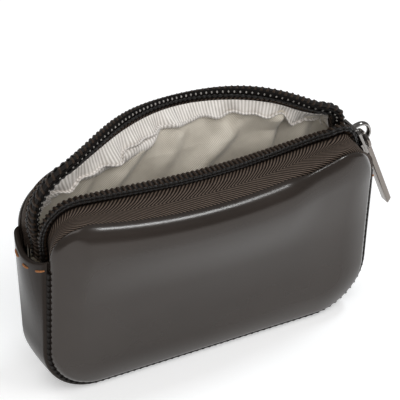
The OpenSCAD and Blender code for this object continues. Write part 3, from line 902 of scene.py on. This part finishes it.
def ripple(s):
    """Uneven waves along the gathered ribbon."""
    return 0.50 * math.sin(s / 1.3 + 0.8) + 0.45 * math.sin(s / 2.2 + 2.1) + 0.35 * math.sin(s / 5.1)


def binding_width(side, s):
    if side == FRONT:
        return FRONT_WIDTH
    width = BACK_WIDTH - WIDTH_LOSS * smooth((s - LOSS_FROM) / LOSS_L)
    return width * mix(LEFT_SHARE, 1.0, smooth((s - LEFT_FROM) / LEFT_L)) + WIDTH_WAVE * ripple(s * 0.6)


def binding_waves(side, s, ends):
    """How wavy a binding is and how far it flares out: the front one is held flat."""
    if side == FRONT:
        return 0.15, 0.1
    return ends * (0.4 + 1.0 * ripple(s)), mix(0.55, 0.25, smooth((s - 40) / 30))


def binding_point(side, s, v):
    """Point of a binding from its upper edge to its rolled lower edge."""
    base, down, inner = binding_frame(side, s)
    ends = smooth((s - BINDING_FROM) / 12) * smooth((BINDING_TO - s) / 14)
    flat = min(v, FLAT_SHARE)
    turn = clamp((v - FLAT_SHARE) / (1 - FLAT_SHARE)) * EDGE_TURN
    width = binding_width(side, s)
    wavy, flare = binding_waves(side, s, ends)
    stand = BINDING_STAND + flare * ends * width * flat + wavy * flat ** 1.5 * WAVE_STAND
    stand += EDGE_STAND * (1 - math.cos(turn))
    return base + down * (0.1 + width * flat + EDGE_DOWN * math.sin(turn)) + inner * stand


def binding_place(side, start, stop):
    def place(u, v):
        s = mix(start, stop, u)
        return binding_point(side, s, v), (s, BINDING_UV_W * v)
    return place


for side, part, start_x, end_x in zip_halves():
    start, stop = (BINDING_FROM, SPLIT_S) if part == "left" else (SPLIT_S, BINDING_TO)
    obj = cloth(f"{NAMES[side]}_binding_{part}", binding_place(side, start, stop), 150, 22, BINDING,
                flip=side == FRONT)
    thicken(obj, BINDING_T, 0)
    bend_with_mouth(obj, side, start_x, end_x)
    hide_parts(NAMES[side] + "_binding")

# Loose hem of the back ribbon, left of the mouth's middle: a roll that stands off the lining
HEM_FROM, HEM_TO = 5.0, 66.0
HEM_END_R, HEM_R, HEM_TURN = 0.6, 1.75, 1.9
HEM_UV_W = 8.0


def hem_place(u, v):
    s = mix(HEM_FROM, HEM_TO, u)
    base, down, inner = binding_frame(BACK, s)
    ends = smooth((s - HEM_FROM) / 10) * smooth((HEM_TO - s) / 16)
    size = mix(HEM_END_R, HEM_R, ends)
    drop = binding_width(BACK, s) + mix(-1.4, 1.3, ends) + 0.35 * ripple(s * 0.7 + 3)
    angle = mix(-HEM_TURN, HEM_TURN, v)
    stand = 0.9 + 1.9 * ends + 0.8 * ripple(s * 0.7 + 1)
    point = base + down * (drop + size * 1.15 * math.sin(angle)) + inner * (stand + size * math.cos(angle))
    return point, (s, HEM_UV_W * v)


hem = cloth("back_binding_hem", hem_place, 150, 16, BINDING)
bend_with_mouth(hem, BACK, *LEFT_BEND)
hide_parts("back_binding")

# Linings

# Creases of the back lining: top and bottom as x and z, height, and width to the right and left
FOLDS = (
    ((34.0, 75.0), (29.0, 58.0), 2.8, 1.8, 4.6),
    ((16.5, 66.5), (3.0, 55.0), 2.6, 2.6, 3.4),
    ((-12.5, 71.5), (-24.0, 59.0), 2.4, 2.0, 2.6),
    ((-31.0, 65.0), (-38.0, 54.0), 1.8, 1.6, 2.2),
    ((44.0, 66.0), (40.0, 52.0), 1.6, 2.4, 2.4),
    ((2.0, 73.0), (-5.0, 62.0), 1.1, 1.8, 2.6),
)


def fold_height(x, z):
    """How far the lining stands off the face: soft ridges along slanting lines."""
    total = 0.0
    for (x0, z0), (x1, z1), height, right, left in FOLDS:
        dx, dz = x1 - x0, z1 - z0
        length = math.hypot(dx, dz)
        t = ((x - x0) * dx + (z - z0) * dz) / length ** 2
        across = ((x - x0) * -dz + (z - z0) * dx) / length
        width = right if across > 0 else left
        fade = smooth((t + 0.35) / 0.4) * (1 - smooth((t - 0.9) / 0.9))
        total += height * fade * bell(across / width)
    return total + 0.5 * noise.noise(Vector((x / 9, z / 11, 4.2))) + 0.3


def low_edge(x, inset):
    """Height of a lining's lower edge, which follows the face's outline."""
    far = max(0.0, abs(x) - HALF_W + BOTTOM_R)
    r = BOTTOM_R - inset
    return BEND_Z - math.sqrt(max(0.0, r * r - min(far, r) ** 2))


# Share of a lining below its shoulder, which lies just inside the lip
SHOULDER, SHOULDER_IN, SHOULDER_DROP = 0.7, 2.9, 1.2
LINING_T, LINING_SIDE_IN, LINING_LOW_IN = 0.3, 2.6, 3.4
# Where the lining ends on the ribbon, as a share of its width, and how far behind it
LINING_TOP, LINING_BEHIND = 0.6, 0.35


def lining_place(side):
    def place(u, v):
        s = mix(3.0, ZIP_L - 9.0, u)
        top = binding_point(side, s, LINING_TOP) - binding_frame(side, s)[2] * LINING_BEHIND
        p = rim_path(s)
        shoulder = lip_point(side, s) + Vector((0, -side * SHOULDER_IN, 0))
        shoulder -= Vector((p[2], 0, p[3])) * SHOULDER_DROP
        if v > SHOULDER:
            point = shoulder.lerp(top, (v - SHOULDER) / (1 - SHOULDER))
        else:
            t = v / SHOULDER
            x = shoulder.x * mix(0.93, 1.0, smooth(t * 1.6))
            z = mix(low_edge(x, LINING_LOW_IN) + 0.5, shoulder.z, t)
            out = face_out(side, x, min(z + (LIP_SAG if side == FRONT else 0), FACE_H - 4))[0]
            y = mix(out - SHOULDER_IN, abs(shoulder.y), smooth((t - 0.5) / 0.5))
            point = Vector((x, side * y, z))
        point.x = clamp(point.x, -HALF_W + LINING_SIDE_IN, HALF_W - LINING_SIDE_IN)
        if side == BACK:
            loose = smooth(v / 0.25) * (1 - smooth((v - 0.84) / 0.16))
            point.y -= fold_height(point.x, point.z) * loose
        return point, (point.x, 1.1 * point.z)
    return place


linings = {}
for side in (FRONT, BACK):
    name = NAMES[side] + "_lining"
    lining = cloth(name + "_cloth", lining_place(side), 150, 100, LINING, flip=side == BACK)
    thicken(lining, LINING_T, -1)
    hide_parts(name)
    linings[side] = lining
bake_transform(linings[BACK])
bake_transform(linings[FRONT])


lined_rows = [row for row in gusset_rows if row[1] in ("side", "arc", "base")]


def gusset_lining_place(u, v):
    end, kind, t = lined_rows[round(v * (len(lined_rows) - 1))]
    q = 2 * u - 1
    point = gusset_point(end, kind, max(t, 0.12) if kind == "side" else t, q * 0.98, -1.5)
    point.y *= 0.8
    crease = 0.35 * noise.noise(Vector((point.x / 8, point.y / 6, point.z / 8)))
    point.x -= math.copysign(abs(crease), point.x) if kind == "side" else 0
    return point, (point.y, 240 * v)


gusset_lining = cloth("gusset_lining_cloth", gusset_lining_place, 24, len(lined_rows) - 1, LINING)
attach(gusset_lining, "purse")
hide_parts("gusset_lining")

# Slider, its bridge and the puller, in the slider's own frame

SLIDER_MID = (coil_point(FRONT, SLIDER_S) + coil_point(BACK, SLIDER_S)) / 2
AT_SLIDER = Matrix.Translation(SLIDER_MID) @ Matrix.Rotation(math.radians(SLIDER_ANGLE), 4, "Y")
CHANNEL_TOP = COIL_T / 2 + 0.35
CHANNEL_LOW = -(COIL_T / 2 + COIL_CLEAR / 2) - TAPE_T - 0.35
PLATE_TOP = CHANNEL_TOP + PLATE_T
PIVOT_X = -0.4
PIVOT_Z = PLATE_TOP + WIRE_D / 2 + 1.05
BRIDGE_TOP = PIVOT_Z + WIRE_D / 2 + 0.55 + 1.4
BRIDGE_HALF_L, BRIDGE_R, BRIDGE_WIDEN, BRIDGE_SUNK = 3.4, 0.62, 1.75, 0.4
LOWER_PLATE_SHORT, PLATE_EDGE_R = 1.2, 0.42
FLANGE_T = 0.7
BAR_LAP, BAR_EDGE_R = 0.3, 0.4


def rounded_edges(bm, width, segments=3, sharpest=0.5):
    """Bevel the edges that turn by more than sharpest, in radians."""
    edges = [e for e in bm.edges if len(e.link_faces) == 2 and e.calc_face_angle(0) > sharpest]
    bmesh.ops.bevel(bm, geom=edges, offset=width, segments=segments, profile=0.5, affect="EDGES", material=-1,
                    clamp_overlap=True)


def slider_plate(bm, z, short):
    """Plate with round shoulders, from a disc that is cut to the slider's length and width."""
    part = bmesh.new()
    bmesh.ops.create_circle(part, cap_ends=True, radius=SLIDER_L * 0.62, segments=64)
    cuts = (((-SLIDER_L / 2, 0, 0), (-1, 0, 0)), ((SLIDER_L / 2 - short, 0, 0), (1, 0, 0)),
            ((0, -SLIDER_W / 2, 0), (0, -1, 0)), ((0, SLIDER_W / 2, 0), (0, 1, 0)))
    for spot, normal in cuts:
        bmesh.ops.bisect_plane(part, geom=part.verts[:] + part.edges[:] + part.faces[:], plane_co=spot,
                               plane_no=normal, clear_outer=True)
    bmesh.ops.recalc_face_normals(part, faces=part.faces)
    raised = bmesh.ops.extrude_face_region(part, geom=part.faces[:])
    for item in raised["geom"]:
        if isinstance(item, bmesh.types.BMVert):
            item.co.z += PLATE_T
    bmesh.ops.recalc_face_normals(part, faces=part.faces)
    rounded_edges(part, PLATE_EDGE_R, 4)
    bmesh.ops.translate(part, verts=part.verts, vec=(0, 0, z))
    add_to(bm, part)


def add_to(bm, part):
    """Move a part's mesh into bm."""
    mesh = bpy.data.meshes.new("part")
    part.to_mesh(mesh)
    part.free()
    bm.from_mesh(mesh)
    bpy.data.meshes.remove(mesh)


def block(bm, low, high, width, segments=2):
    """Box between two corners with rounded edges."""
    part = bmesh.new()
    bmesh.ops.create_cube(part, size=1.0)
    size = [b - a for a, b in zip(low, high)]
    bmesh.ops.scale(part, verts=part.verts, vec=size)
    bmesh.ops.translate(part, verts=part.verts, vec=[(a + b) / 2 for a, b in zip(low, high)])
    rounded_edges(part, width, segments)
    add_to(bm, part)


def metal(name, bm, material, body, nodes):
    """Piece of the slider from a bmesh in the slider's own frame."""
    bmesh.ops.transform(bm, matrix=Matrix.Scale(MM, 4) @ AT_SLIDER, verts=bm.verts)
    obj = finish_mesh(name, bm, material)
    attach(obj, body)
    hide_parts(*nodes)


body = bmesh.new()
slider_plate(body, CHANNEL_TOP, 0.0)
slider_plate(body, CHANNEL_LOW - PLATE_T, LOWER_PLATE_SHORT)
for way in (-1, 1):
    flange_y = way * (SLIDER_W - FLANGE_T) / 2
    block(body, (0, flange_y - FLANGE_T / 2, CHANNEL_TOP - FLANGE_T),
          (SLIDER_L * 0.4, flange_y + FLANGE_T / 2, CHANNEL_TOP + 0.3), 0.12)
block(body, (-SLIDER_L / 2 + 0.4, -COIL_PART / 2, CHANNEL_LOW - 0.3),
      (-SLIDER_L / 2 + 2.6, COIL_PART / 2, CHANNEL_TOP + 0.3), 0.2)
# The body takes the darker copy of the bridge's nickel as painted shade
metal("slider_metal", body, SHADED_NICKEL, "slider", ["slider_body"])

arch = []
for k in range(29):
    a = math.pi * k / 28
    c, d = math.cos(a), math.sin(a)
    arch.append((PIVOT_X - BRIDGE_HALF_L * math.copysign(abs(c) ** 0.85, c), 0,
                 PLATE_TOP - BRIDGE_SUNK + (BRIDGE_TOP - PLATE_TOP + BRIDGE_SUNK) * d ** 0.8))
bridge = tube("slider_bridge_metal", [arch], BRIDGE_R, NICKEL, sides=4)
bridge.data.transform(Matrix.Diagonal((1, BRIDGE_WIDEN, 1, 1)))
bridge.data.transform(Matrix.Scale(MM, 4) @ AT_SLIDER @ Matrix.Scale(1 / MM, 4))
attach(bridge, "slider")
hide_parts("slider_bridge")

pull = bmesh.new()
ring = bmesh.new()
bmesh.ops.create_circle(ring, radius=WIRE_D / 2, segments=16)
bmesh.ops.rotate(ring, verts=ring.verts, cent=(0, 0, 0), matrix=Matrix.Rotation(math.pi / 2, 3, "X"))
bmesh.ops.translate(ring, verts=ring.verts, vec=(RING_R, 0, 0))
bmesh.ops.spin(ring, geom=ring.verts[:] + ring.edges[:], cent=(0, 0, 0), axis=(0, 0, 1), angle=2 * math.pi,
               steps=48, use_merge=True)
bmesh.ops.translate(ring, verts=ring.verts, vec=(RING_R, 0, 0))
bmesh.ops.recalc_face_normals(ring, faces=ring.faces)
add_to(pull, ring)
bar = bmesh.new()
bmesh.ops.create_cube(bar, size=1.0)
bmesh.ops.scale(bar, verts=bar.verts, vec=(BAR_L, BAR_W, BAR_T))
bmesh.ops.translate(bar, verts=bar.verts, vec=(2 * RING_R + BAR_L / 2 - BAR_LAP, 0, 0))
# The bar's end is cut at a slant
for v in bar.verts:
    if v.co.x > 2 * RING_R + BAR_L / 2 and v.co.z > 0:
        v.co.x -= BAR_T * 0.7
rounded_edges(bar, BAR_EDGE_R, 3)
add_to(pull, bar)
bmesh.ops.transform(pull, matrix=Matrix.Translation((PIVOT_X, 0, PIVOT_Z))
                    @ Matrix.Rotation(math.radians(PULLER_ANGLE), 4, "Y"), verts=pull.verts)
metal("puller_metal", pull, GUNMETAL, "puller", ["puller"])

# The board in the base keeps its frame shape
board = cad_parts["base_board"]
board.data.materials.clear()
board.data.materials.append(BOARD)

# Camera

AIM = Vector((4.296, 6.309, 46.90)) * MM
CAMERA_DISTANCE, LENS, SENSOR_W = 0.72, 208.7, 36.0
TO_CAMERA = Vector((-0.396, -0.745, 0.537))
TO_CAMERA.normalize()
RIGHT = Vector((0.883, -0.469, 0))
RIGHT = (RIGHT - TO_CAMERA * RIGHT.dot(TO_CAMERA)).normalized()
UP = TO_CAMERA.cross(RIGHT)
camera_data = bpy.data.cameras.new("Camera")
camera_data.lens, camera_data.sensor_width = LENS, SENSOR_W
camera_data.clip_start, camera_data.clip_end = 0.05, 20.0
camera = link(bpy.data.objects.new("Camera", camera_data))
turn = Matrix((RIGHT, UP, TO_CAMERA)).transposed().to_4x4()
camera.matrix_world = Matrix.Translation(AIM + TO_CAMERA * CAMERA_DISTANCE) @ turn
bpy.context.scene.camera = camera

# White floor, soft studio light


def floor_material():
    material, tree, shader = new_material("floor")
    shader.inputs["Base Color"].default_value = (0.93, 0.93, 0.93, 1)
    shader.inputs["Roughness"].default_value = 0.9
    shader.inputs["Specular IOR Level"].default_value = 0.1
    path = tree.nodes.new("ShaderNodeLightPath").outputs
    seen = math_node(tree, "MAXIMUM", path["Is Camera Ray"], path["Is Glossy Ray"])
    seen = math_node(tree, "MAXIMUM", seen, path["Is Transmission Ray"])
    shader.inputs["Emission Color"].default_value = (1, 1, 1, 1)
    tree.links.new(math_node(tree, "MULTIPLY", seen, 0.33), shader.inputs["Emission Strength"])
    return material


floor_mesh = bmesh.new()
bmesh.ops.create_grid(floor_mesh, x_segments=1, y_segments=1, size=4.0)
floor = finish_mesh("floor", floor_mesh, floor_material(), facing=(0, 0, 1))

world = bpy.data.worlds.new("World")
bpy.context.scene.world = world
world.use_nodes = True
background = world.node_tree.nodes["Background"]
background.inputs[0].default_value = (1, 1, 1, 1)
background.inputs[1].default_value = 0.22


def lamp(name, place, aim, size, power, color=(1, 1, 1)):
    data = bpy.data.lights.new(name, "AREA")
    data.shape = "RECTANGLE"
    data.size, data.size_y = size
    data.energy = power
    data.color = color
    obj = link(bpy.data.objects.new(name, data))
    obj.location = place
    obj.rotation_mode = "QUATERNION"
    obj.rotation_quaternion = (Vector(place) - Vector(aim)).to_track_quat("Z", "Y")
    return obj


lamp("Key", (-0.3, 0.3, 0.75), (0, 0, 0.04), (0.5, 0.5), 1.2)
lamp("Streak", (0.39, 0.0, 0.78), (0, 0, 0.06), (0.14, 0.12), 1.4, (0.9, 0.96, 1.0))
fill = lamp("Fill", (-0.3, -0.7, 0.65), (0, 0, 0.05), (0.8, 0.8), 4.8)
side_fill = lamp("Side", (0.4, -0.55, 0.75), (0, 0, 0.06), (0.5, 0.5), 2.3)
# The front lamps only lighten: the leather and the metal don't mirror them
fill.visible_glossy = side_fill.visible_glossy = False

bpy.context.scene.view_settings.view_transform = "Standard"
